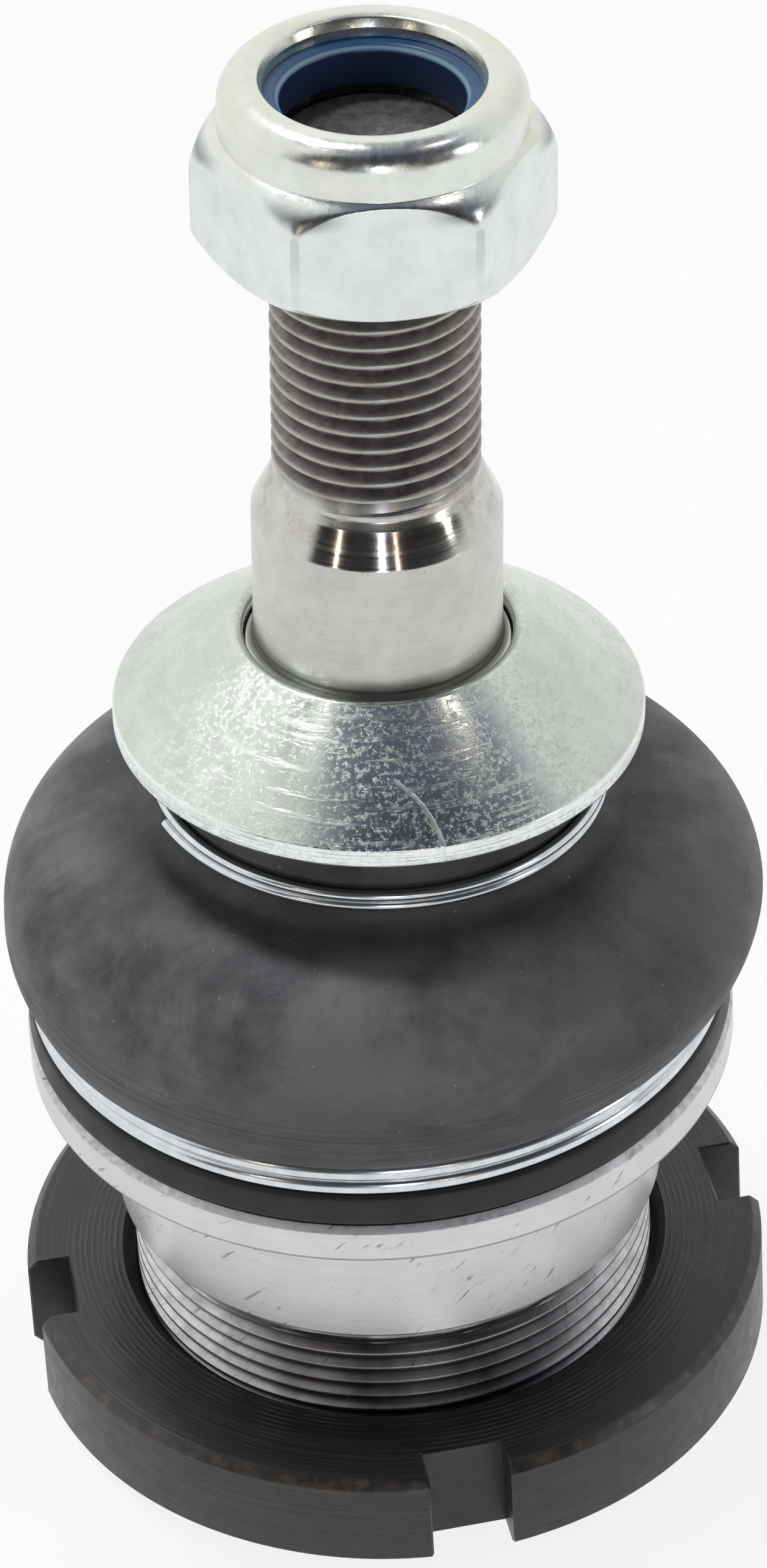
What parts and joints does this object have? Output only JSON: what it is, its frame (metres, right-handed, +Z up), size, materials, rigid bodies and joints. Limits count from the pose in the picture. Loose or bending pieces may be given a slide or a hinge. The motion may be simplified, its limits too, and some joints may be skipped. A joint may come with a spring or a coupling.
{
  "type": "suspension ball joint",
  "caption": "Threaded-housing suspension ball joint with slotted ring nut, rubber boot, dust cone and a self-locking nut on its stud.",
  "frame": {"origin": "on the housing's axis in the ring nut's lower face", "axes": "+Z up the housing's axis towards the stud's end, -Y towards the front"},
  "size_m": [0.0609, 0.0605, 0.1194],
  "materials": {
    "black_oxide_steel": "turned, black oxide",
    "machined_steel": "fine turned, bright",
    "plain_steel": "pressed, oiled",
    "spring_steel": "blued",
    "bearing_plastic": "moulded",
    "stud_steel": "ground pin, rolled thread",
    "bright_wire": "bright drawn wire",
    "boot_rubber": "matte moulded",
    "zinc_plate": "zinc plated, scratched",
    "zinc_nut": "zinc plated",
    "blue_nylon": "moulded nylon"
  },
  "bodies": {
    "base": {"ring_nut": "black_oxide_steel"},
    "inner_stack": {"lower_seat": "bearing_plastic", "preload_spring": "spring_steel"},
    "casing": {"housing": "machined_steel", "cover_plate": "plain_steel", "lower_clamp_ring": "bright_wire"},
    "socket": {"ball_seat": "bearing_plastic"},
    "swivel": {"upper_clamp_ring": "bright_wire", "boot": "boot_rubber"},
    "stud": {"ball_stud": "stud_steel"},
    "cone": {"dust_cone": "zinc_plate"},
    "insert": {"nylon_insert": "blue_nylon"},
    "nut": {"lock_nut": "zinc_nut"}
  },
  "joints": [
    {"name": "housing_travel", "type": "slide", "parent": "base", "child": "inner_stack", "axis": [0, 0, 1], "range_m": [-0.0065, 0.006]},
    {"name": "housing_turn", "type": "hinge", "parent": "inner_stack", "child": "casing", "pos_m": [0, 0, 0.03], "axis": [0, 0, 1], "range_deg": [-1565, 1445]},
    {"name": "swing_direction", "type": "hinge", "parent": "inner_stack", "child": "socket", "pos_m": [0, 0, 0.03], "axis": [0, 0, 1], "continuous": true},
    {"name": "stud_swing", "type": "hinge", "parent": "socket", "child": "swivel", "pos_m": [0, 0, 0.03], "axis": [-0.8251, 0.565, 0], "range_deg": [-23.9, 16], "deforming": ["boot"]},
    {"name": "stud_spin", "type": "hinge", "parent": "swivel", "child": "stud", "pos_m": [0, 0, 0.03], "axis": [0.039, 0.057, 0.9976], "continuous": true},
    {"name": "cone_lift", "type": "slide", "parent": "stud", "child": "cone", "axis": [0.039, 0.057, 0.9976], "range_m": [0, 0.0155]},
    {"name": "nut_travel", "type": "slide", "parent": "stud", "child": "insert", "axis": [0.039, 0.057, 0.9976], "range_m": [-0.018, 0.0083], "deforming": ["nylon_insert"]},
    {"name": "nut_turn", "type": "hinge", "parent": "insert", "child": "nut", "pos_m": [0.00312, 0.00456, 0.10981], "axis": [0.039, 0.057, 0.9976], "range_deg": [-4325, 1997]}
  ],
  "couplings": [
    {"joint": "housing_turn", "follows": "housing_travel", "rad_per_m": 4188.8},
    {"joint": "nut_turn", "follows": "nut_travel", "rad_per_m": 4188.8}
  ]
}
